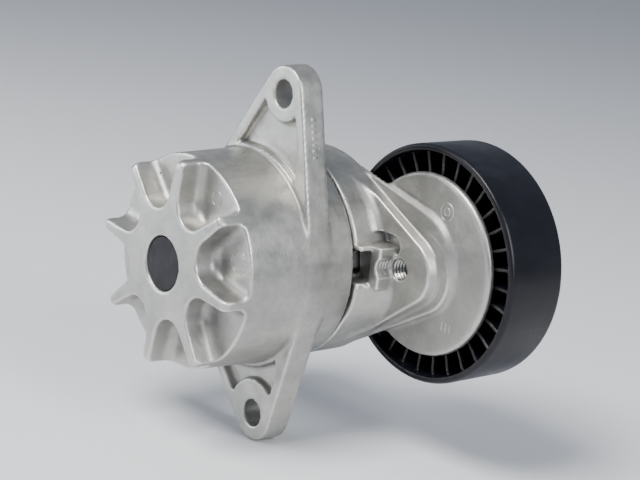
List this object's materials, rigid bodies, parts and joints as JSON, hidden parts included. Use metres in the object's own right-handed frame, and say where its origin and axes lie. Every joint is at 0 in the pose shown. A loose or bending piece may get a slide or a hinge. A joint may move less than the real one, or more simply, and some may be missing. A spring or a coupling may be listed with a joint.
{
  "type": "belt tensioner idler",
  "caption": "Spring-loaded belt tensioner: a cast housing with bolting ears, a cast swinging arm and a smooth idler pulley on a ball bearing.",
  "frame": {"origin": "midway between the two bolt holes, in the plane of the ears' bolting faces", "axes": "+Y along the pivot axis from the housing's closed end to the pulley; +Z from ear to ear, upwards; +X from the pivot axis towards the pulley"},
  "size_m": [0.1167, 0.0896, 0.1198],
  "materials": {
    "cast_aluminium": "die-cast, matte with a fine grain",
    "hard_steel": "ground",
    "blackened_steel": "phosphated, matte black",
    "bush_bronze": "sintered",
    "seat_polymer": "natural polyamide",
    "lining_polymer": "dark polyamide",
    "spring_steel": "shot-peened",
    "seal_rubber": "matte",
    "bearing_steel": "ground and polished",
    "zinc_plate": "zinc plated",
    "pulley_polymer": "black glass-filled polyamide, satin"
  },
  "bodies": {
    "housing": {"spring_housing": "cast_aluminium", "stop_pin": "hard_steel", "end_plug": "blackened_steel", "front_bush": "bush_bronze", "rear_bush": "bush_bronze", "spring_floor_seat": "seat_polymer", "torsion_spring": "spring_steel", "dust_seal": "seal_rubber"},
    "arm": {"tension_arm": "cast_aluminium", "pivot_shaft": "hard_steel", "retaining_ring": "spring_steel", "thrust_washer": "bush_bronze", "spring_arm_seat": "seat_polymer", "friction_lining": "lining_polymer", "damping_band": "spring_steel", "bearing_inner_ring": "bearing_steel", "bearing_spacer": "hard_steel", "dust_shield": "zinc_plate", "bolt_washer": "zinc_plate", "pulley_bolt": "zinc_plate"},
    "pulley": {"pulley_rim": "pulley_polymer", "bearing_sleeve": "hard_steel", "bearing_outer_ring": "bearing_steel", "front_seal": "seal_rubber", "rear_seal": "seal_rubber"},
    "cage": {"bearing_cage": "seat_polymer", "bearing_balls": "bearing_steel"}
  },
  "joints": [
    {"name": "arm_pivot", "type": "hinge", "parent": "housing", "child": "arm", "pos_m": [-0.0126, 0, -0.0026], "axis": [0, 1, 0], "range_deg": [0, 35], "stiffness_Nm_per_rad": 28, "springref_deg": -25.78, "deforming": ["torsion_spring"]},
    {"name": "pulley_spin", "type": "hinge", "parent": "arm", "child": "pulley", "pos_m": [0.03317, 0, 0.00367], "axis": [0, 1, 0], "continuous": true},
    {"name": "cage_spin", "type": "hinge", "parent": "arm", "child": "cage", "pos_m": [0.03317, 0, 0.00367], "axis": [0, 1, 0], "continuous": true}
  ],
  "couplings": [
    {"joint": "cage_spin", "follows": "pulley_spin", "ratio": 0.6182}
  ]
}
